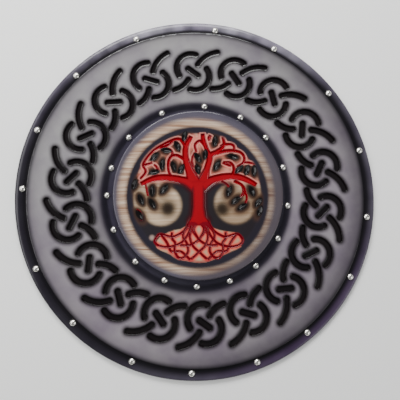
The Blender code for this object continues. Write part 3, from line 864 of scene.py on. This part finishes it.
# %% Airbrush the board
def board_paint(mesh):
    """The passes over the board."""
    places = corner_places(mesh)
    x, y, height = places.T
    radius, clock = np.hypot(x, y), np.degrees(np.arctan2(x, y))
    from_ring = np.hypot(*(places[:, :2] - RING_SHIFT).T)
    paint = np.zeros((len(places), 4))
    face = fade(height, 3, 8)
    side = fade(radius, 302.5, 304)
    knots = (radius < 271) & (height > 3)
    spray(paint, "#827c81", np.maximum(face, side))
    # A lighter neutral grey over the upper left of the face is a painted reflection
    spray(paint, "#8a8a88", 0.65 * towards(clock, -30, 110, 40) * face)
    groove = stroke_distance(in_own_share(radius, clock), groove_lines(), round_ends=True)
    # Airbrushed black halos round the grooves; they are thinner near the top, which is painted glare
    spray(paint, "#1e1a1c", (0.80 - 0.22 * towards(clock, -5, 90, 30)) * fade(groove, 8.5, 1.0) * knots)
    # Black round the boss, and at the field's edge, where it is wider at the right
    for colour, coverage in (
        ("#3a363a", 0.45 * towards(clock, -130, 140, 60) * fade(from_ring, 200, 163)),
        ("#2c2830", fade(from_ring, 167.5, 157)),
        ("#1a181f", fade(from_ring, 162, 154)),
        ("#3a3742", 0.85 * fade(from_ring, 150.5, 146.5)),
        ("#2f2b30", 0.58 * towards(clock, 105, 110, 50) * fade(radius, 236, 280)),
        ("#39343a", 0.30 * fade(radius, 262, 282)),
        ("#131115", fade(radius, 275.5, 286)),
    ):
        spray(paint, colour, coverage * face)
    # The ledge: streaks, purple at the lower right, painted reflection at the top, painted shade at the left
    angle = np.radians(clock)
    streaks = 0.5 + 0.28 * np.sin(23 * angle + 4 * np.sin(5 * angle)) + 0.22 * np.sin(61 * angle + 2)
    spray(paint, "#55505c", (0.62 + 0.25 * streaks) * fade(radius, 289.5, 303))
    # Painted reflection: lighter streaks at the top of the ledge
    spray(paint, "#9c98a4", (0.22 + 0.6 * streaks) * towards(clock, 0, 55, 15) * fade(radius, 288, 294))
    spray(paint, "#46324f", 0.55 * towards(clock, 140, 48, 12) * fade(radius, 288, 297))
    # Painted shade: dark at the left of the ledge
    spray(paint, "#1b191e", 0.75 * towards(clock, -115, 62, 30) * fade(radius, 288, 294))
    # The rim's side, and overspray on the back
    spray(paint, "#26232b", fade(height, 6.6, 3.5) * side)
    spray(paint, "#35323b", 0.85 * fade(radius, 255, 303) * (height < 2.6))
    # Solid black in the grooves, down to their floors
    sunk = fade(BOARD_TOP / MM - height, 0.1, 0.5)
    spray(paint, "#141011", np.maximum(fade(groove, 3.0, 0.6), sunk) * knots)
    return paint


store_paint(board_mesh, board_paint(board_mesh))

# %% [markdown]
# ## Paint of the boss
# The pine stays bare in a ring and in the two bays beside the trunk. Purple grey softens the rim of
# the boss and a dark band holds the roundel. The limbs are a bright red, the roots a deeper one with
# pink overspray between them, and the leaves are black with a brownish halo.

# %% Places on the boss for its paint
# The purple grey at the boss's rim was sprayed off its middle too, in mm
RIM_SHIFT = (-3.5, -2.5)
# Each bay: its middle and radius in mm, and the side of the bay on which the trunk is
BAYS = (((-62.6, -18.5), 34.8, 1), ((60.3, -15.4), 35.9, -1))
# A pale gap in the dark band, left of the roots
BAND_GAP = (-77.2, -71.9)
# Soft dark spots in the bays: middle, radius and coverage
SPOTS = (((-51.6, -24.1), 15.5, 0.99), ((38.2, -25.0), 13.5, 0.96))
# Outline of the patch among the roots, in thousandths of the tree's radius
ROOT_FAN = (
    (-120, -400), (-184, -457), (-261, -500), (-357, -514), (-433, -542), (-510, -580), (-567, -613),
    (-610, -665), (-638, -727), (-614, -779), (-547, -818), (-471, -847), (-414, -876), (-366, -914),
    (-300, -952), (-204, -968), (-109, -985), (16, -1000), (121, -990), (217, -962), (304, -925),
    (411, -875), (489, -840), (577, -805), (645, -768), (685, -692), (667, -614), (609, -566),
    (531, -546), (434, -536), (337, -517), (270, -497), (212, -468), (140, -400),
)


def distance_from(flat, place):
    """How far each of many places is from one place."""
    return np.hypot(*(flat - np.array(place)).T)


def bay_shading(flat, share):
    """Coverage of the dark shading round both bays, on their trunk side and below."""
    shading = np.zeros(len(flat))
    for centre, bay, sign in BAYS:
        off = flat - np.array(centre)
        inner = towards(np.degrees(np.arctan2(off[:, 1], off[:, 0] * sign)), -38, 128, 104)
        own_half = (share[:, 0] - 0.01) * sign < 0
        shading = np.maximum(shading, fade(np.hypot(*off.T) - bay, -6.5, 3.0) * inner * own_half)
    return shading * fade(share[:, 1], 0.27, 0.17)


print("bays:", len(BAYS), "and spots:", len(SPOTS))


# %% Airbrush the boss
def boss_paint(mesh):
    """The passes over the boss, in the order in which they cover each other."""
    places = corner_places(mesh)
    flat, height = places[:, :2], places[:, 2]
    clock = np.degrees(np.arctan2(flat[:, 0], flat[:, 1]))
    centre, tree_radius = np.array(TREE_CENTRE) / MM, TREE_RADIUS / MM
    from_tree, from_rim = distance_from(flat, centre), distance_from(flat, RIM_SHIFT)
    # Across and up the tree, in shares of its radius
    share = (flat - centre) / tree_radius
    across, up = share.T
    limbs, roots, leaves = (
        stroke_distance(flat, lines) for lines in (limb_lines + twig_lines, root_lines, leaf_lines))
    fan = outline_distance(share, np.array(ROOT_FAN) / 1000) * tree_radius
    off_fan, in_fan = fade(fan, -0.6, 1.2), fade(fan, 0.6, -0.8)
    roundel = fade(from_tree, 112, 106)
    crown = fade(up, 0.14, 0.32) * roundel
    bays = bay_shading(flat, share)
    paint = np.zeros((len(places), 4))
    for colour, coverage in (
        # Rim of the boss: purple grey, nearly black at the edge and down the side
        ("#4d4a56", 0.93 * fade(from_rim, 123.5, 135.5)),
        ("#3a3742", fade(from_rim, 138, 147.5)),
        ("#45414d", 0.85 * fade(height, 21.6, 19)),
        # Painted shade: darker at the right and lower right of the boss's rim and bare ring
        ("#4a4244", 0.55 * towards(clock, 120, 90, 35) * fade(from_tree, 104, 116)),
        # Cream in the bays, pink overspray in the crown and among the roots
        ("#c3ae8c", 0.35 * roundel * fade(up, 0.2, 0.05)),
        ("#6b543f", 0.50 * roundel * fade(across, 0.15, 0.5) * fade(up, 0.2, 0.05)),
        ("#d58c7a", 0.36 * crown),
        ("#c85a4d", 0.85 * crown * fade(limbs, 9.0, 1.2)),
        ("#a99a7c", 0.76 * in_fan),
        ("#d2443e", 0.92 * in_fan * fade(roots, 6.5, 0.4)),
        ("#8e2230", 0.75 * in_fan * fade(fan, -6, -0.5) * fade(up, -0.78, -0.92)),
        # Dark shading round both bays and below the roots, and the band that holds the roundel
        ("#1f1c22", 0.98 * bays * off_fan * roundel),
        ("#24212a", fade(from_tree, 122.5, 114.5) * fade(from_tree, 103, 108.5) * off_fan),
        ("#a08a80", 0.85 * fade(distance_from(flat, BAND_GAP), 6.5, 1.5)),
        *(("#241b15", most * np.exp(-(distance_from(flat, spot) / size) ** 3)) for spot, size, most in SPOTS),
        # Halos of the leaves and limbs
        ("#4a3328", 0.70 * fade(leaves, 15, 2.5) * roundel),
        ("#2a1c18", 0.85 * fade(leaves, 7.0, 1.6) * roundel),
        ("#e8a294", 0.72 * fade(limbs, 3.6, 1.9) * crown * fade(leaves, 0.6, 2.2)),
        ("#5d0812", 0.75 * fade(limbs, 2.2, 0.8) * crown),
        # Red in the limbs, with painted shade along their walls, and darker beside the bays
        ("#900416", fade(limbs, 0.9, 0.2) * roundel),
        # Painted shade along the walls of the limbs' cuts
        ("#3c0410", 0.50 * fade(limbs, -2.6, 0.2) * fade(limbs, 0.6, 0.2) * roundel),
        ("#2b1217", 0.85 * bays * fade(np.abs(limbs), 7.0, 1.2) * roundel * fade(up, -0.44, -0.34)),
        # Deep red in the roots, black in the leaves
        ("#6c0615", fade(roots, 1.5, 0.4)),
        ("#0e0b0b", fade(leaves, 1.3, 0.4)),
    ):
        spray(paint, colour, coverage)
    return paint


store_paint(boss_mesh, boss_paint(boss_mesh))

# %% [markdown]
# ## Materials
# Everything but the nails is wood or paint under a gloss lacquer. The coat gives all of the
# reflections: light that gets through it meets matt paint or wood, so these have none of their own.
# The coat is set a little weaker than real lacquer, or the large lights would wash out the blacks.
# The grain is stretched noise: pine shows fine fibres about 1 mm wide and darker bands of late wood
# about 5 mm apart.

# %% Helper for material nodes
def add_node(material, kind, inputs=None, **settings):
    """Adds a shader node with its settings, values and links to other nodes' sockets."""
    node = material.node_tree.nodes.new("ShaderNode" + kind)
    for name, value in settings.items():
        setattr(node, name, value)
    for name, value in (inputs or {}).items():
        if isinstance(value, bpy.types.NodeSocket):
            material.node_tree.links.new(value, node.inputs[name])
        else:
            node.inputs[name].default_value = value
    return node


def noise(material, place, scale, detail, roughness=0.5):
    """Noise at each place, in cells about 1 / scale metres wide."""
    return add_node(material, "TexNoise", {"Vector": place, "Scale": scale, "Detail": detail,
                                           "Roughness": roughness}).outputs["Fac"]


def spread(material, factor, low, high, to_low, to_high):
    """A range of a value stretched to another range."""
    return add_node(material, "MapRange", {0: factor, 1: low, 2: high, 3: to_low, 4: to_high}).outputs[0]


def new_material(name, sockets):
    """A node material and its shader, with constants on some of the shader's sockets."""
    material = bpy.data.materials.new(name)
    material.use_nodes = True
    shader = material.node_tree.nodes["Principled BSDF"]
    for socket, value in sockets.items():
        shader.inputs[socket].default_value = value
    return material, shader


def ramp(material, factor, *stops):
    """A colour ramp whose stops are places and web colours."""
    node = add_node(material, "ValToRGB", {"Fac": factor})
    while len(node.color_ramp.elements) < len(stops):
        node.color_ramp.elements.new(0.5)
    for element, (place, colour) in zip(node.color_ramp.elements, stops):
        element.position = place
        element.color = (*linear(colour), 1)
    return node.outputs["Color"]


trial, _ = new_material("trial", {})
print("a new material has the nodes", [node.name for node in trial.node_tree.nodes])
bpy.data.materials.remove(trial)

# %% Painted and bare wood
# Cells per metre along the grain, across it and through the board, then detail and roughness
LATE_WOOD = ((9.0, 190.0, 40.0), 3.0, 0.6)
FIBRES = ((22.0, 900.0, 90.0), 2.0, 0.5)
# The grain wanders across itself by up to this much
GRAIN_DRIFT = (0.0, 12 * MM, 0.0)
LACQUER = {"Specular IOR Level": 0.0, "Coat Weight": 1.0, "Coat Roughness": 0.13, "Coat IOR": 1.35}


def pine_grain(material, lean, stops):
    """Colour of a pine board with its grain along x, leaning by an angle in degrees."""
    place = add_node(material, "TexCoord").outputs["Object"]
    drift = add_node(material, "TexNoise", {"Vector": place, "Scale": 9.0, "Detail": 2.0}).outputs["Color"]
    bent = add_node(material, "VectorMath", {0: drift, 1: GRAIN_DRIFT}, operation="MULTIPLY").outputs[0]
    moved = add_node(material, "VectorMath", {0: place, 1: bent}, operation="ADD").outputs[0]
    layers = []
    for stretch, detail, roughness in (LATE_WOOD, FIBRES):
        along = add_node(material, "Mapping", {"Vector": moved, "Rotation": (0, 0, math.radians(-lean)),
                                               "Scale": stretch}).outputs[0]
        layers.append(noise(material, along, 1.0, detail, roughness))
    shares = {"Factor": 0.3, 2: layers[0], 3: layers[1]}
    grain = add_node(material, "Mix", shares, data_type="FLOAT").outputs[0]
    return ramp(material, grain, *stops), grain, moved


def airbrushed_wood(name, lean, stops, mottle_colour, mottle_amount):
    """Bare pine under airbrushed acrylic and a gloss lacquer."""
    material, shader = new_material(name, LACQUER)
    wood, grain, place = pine_grain(material, lean, stops)
    paint = add_node(material, "Attribute", attribute_name="airbrush")
    # Clouds about 60 mm wide; the spray's grit is drawn 1 mm wide, coarser than real, so that it shows
    cloud, grit = noise(material, place, 16.0, 4.0, 0.55), noise(material, place, 900.0, 1.0)
    uneven = spread(material, cloud, 0.35, 0.65, 0.0, mottle_amount)
    mottle = {"Factor": uneven, 6: paint.outputs["Color"], 7: (*linear(mottle_colour), 1)}
    tinted = add_node(material, "Mix", mottle, data_type="RGBA", blend_type="SOFT_LIGHT").outputs[2]
    hidden = {0: paint.outputs["Alpha"], 1: 1.08, 2: spread(material, grit, 0.3, 0.7, -0.07, 0.07)}
    cover = add_node(material, "Math", hidden, operation="MULTIPLY_ADD", use_clamp=True).outputs[0]
    final = add_node(material, "Mix", {"Factor": cover, 6: wood, 7: tinted}, data_type="RGBA").outputs[2]
    relief = add_node(material, "Bump", {"Height": grain, "Strength": 0.10, "Distance": 0.4 * MM}).outputs[0]
    dull = spread(material, cloud, 0.3, 0.7, 0.34, 0.46)
    for socket, source in (("Base Color", final), ("Roughness", dull), ("Normal", relief)):
        material.node_tree.links.new(source, shader.inputs[socket])
    return material


# Airbrushed acrylic on a pine board under gloss lacquer: cloudy grey, with a little grain in the gloss
painted_board = airbrushed_wood(
    "airbrushed pine board under gloss lacquer", 2.0,
    ((0.30, "#8d6844"), (0.50, "#b08a60"), (0.70, "#c7a67c")), "#7d7088", 0.6)
# The same lacquer over bare, pale pine with orange-brown late wood, which shows in the ring and bays
painted_boss = airbrushed_wood(
    "lacquered carved pine with airbrushed tree", 5.0,
    ((0.36, "#7d5a45"), (0.46, "#a1856f"), (0.57, "#b9a28e"), (0.70, "#cdbba8")), "#8c7a6a", 0.25)
print("wood materials:", painted_board.name, "and", painted_boss.name)

# %% [markdown]
# ## Nickel plate
# The nail heads are stamped steel, plated with nickel and polished: a warm white metal with a sharp
# reflection, softened a little by fine scratches.

# %% Nickel material and the last pieces
# Nickel plate over stamped steel; its wear is drawn 1.5 mm wide, coarser than real scratches
nickel, nickel_shader = new_material("polished nickel plate", {"Metallic": 1.0})
scratches = noise(nickel, add_node(nickel, "TexCoord").outputs["Object"], 700.0, 3.0)
worn = spread(nickel, scratches, 0.35, 0.70, 0.16, 0.30)
tarnish = ramp(nickel, scratches, (0.35, "#e4e0d6"), (0.65, "#f7f5ef"))
nickel.node_tree.links.new(worn, nickel_shader.inputs["Roughness"])
nickel.node_tree.links.new(tarnish, nickel_shader.inputs["Base Color"])

board = finish_piece("carved_board", board_mesh, painted_board, "board")
boss = finish_piece("carved_boss", boss_mesh, painted_boss, "boss")
nail_ring("rim_nail", RIM_NAIL_CLOCK, RIM_NAIL_RADIUS, LEDGE_TOP, nickel)
nail_ring("boss_nail", BOSS_NAIL_CLOCK, BOSS_NAIL_RADIUS, BOARD_TOP, nickel)

# %% [markdown]
# ## Floor
# The shield lies on its back with nothing under it. The wall of the photograph is left out, and a
# plain pale floor takes its place, which isn't part of the shield.

# %% Floor
def plain_floor():
    """A pale floor."""
    mesh = bmesh.new()
    bmesh.ops.create_grid(mesh, x_segments=1, y_segments=1, size=4.0)
    floor = as_object("pale_floor", mesh)
    # Matt floor paint
    material, _ = new_material("matt pale floor", {"Base Color": (*linear("#f2f2f0"), 1), "Roughness": 0.9})
    floor.data.materials.append(material)
    print("floor:", [round(side, 1) for side in floor.dimensions])


plain_floor()

# %% [markdown]
# ## Lights
# A large soft light stands beyond the top edge, where the ceiling light was. Its reflection draws
# the bright line on the field's edge and the glints on the nails. A window light from the left and a
# weak fill from the lower right keep the shadows soft, as in a bright room.

# %% Lights
def soft_light(name, place, aim, size, power):
    """A large rectangular area light that faces a point."""
    data = bpy.data.lights.new(name, "AREA")
    data.shape = "RECTANGLE"
    data.size, data.size_y = size
    data.energy = power
    light = placed(name, data)
    light.location = place
    light.rotation_euler = (Vector(aim) - Vector(place)).to_track_quat("-Z", "Y").to_euler()
    print(name, "of", power, "W, from", place)


soft_light("ceiling_light", (-0.25, 1.45, 1.25), (0, 0.05, 0), (1.5, 0.7), 55)
soft_light("window_light", (-1.35, 0.25, 1.25), (0, 0, 0), (1.8, 0.8), 22)
soft_light("fill_light", (1.5, -0.9, 1.1), (0, 0, 0), (1.3, 1.3), 12)
world = bpy.data.worlds.new("studio")
world.use_nodes = True
background = world.node_tree.nodes["Background"].inputs
background["Color"].default_value = (*linear("#e6e8ea"), 1)
background["Strength"].default_value = 0.34
bpy.context.scene.world = world

# %% [markdown]
# ## Camera
# The camera looks down from where the photograph was taken: nearly square on and 0.73 m away. Its
# tilt and offset were fitted to the circles that the shield's edges draw in the photograph.

# %% Camera
SENSOR_WIDTH = 36
FOCAL_PIXELS = 430
IMAGE_SIDE = 400
# Turns about x and y in degrees, and where the middle of the board's face is for the camera
CAMERA_TILT = (5.532, -3.274)
CAMERA_OFFSET = Vector((-2.2 * MM, 8.996 * MM, -723.5 * MM))


def photo_camera():
    """The camera of the photograph, looking down on the shield."""
    data = bpy.data.cameras.new("camera")
    data.sensor_width = SENSOR_WIDTH
    data.lens = SENSOR_WIDTH * FOCAL_PIXELS / IMAGE_SIDE
    camera = placed("camera", data)
    tilt_x, tilt_y = (math.radians(angle) for angle in CAMERA_TILT)
    pose = (Matrix.Rotation(-tilt_y, 3, "Y") @ Matrix.Rotation(-tilt_x, 3, "X")).transposed()
    place = Vector((0, 0, BOARD_TOP)) - pose @ CAMERA_OFFSET
    camera.matrix_world = Matrix.Translation(place) @ pose.to_4x4()
    bpy.context.scene.camera = camera
    print("camera at", [round(c, 3) for c in camera.matrix_world.translation])


photo_camera()
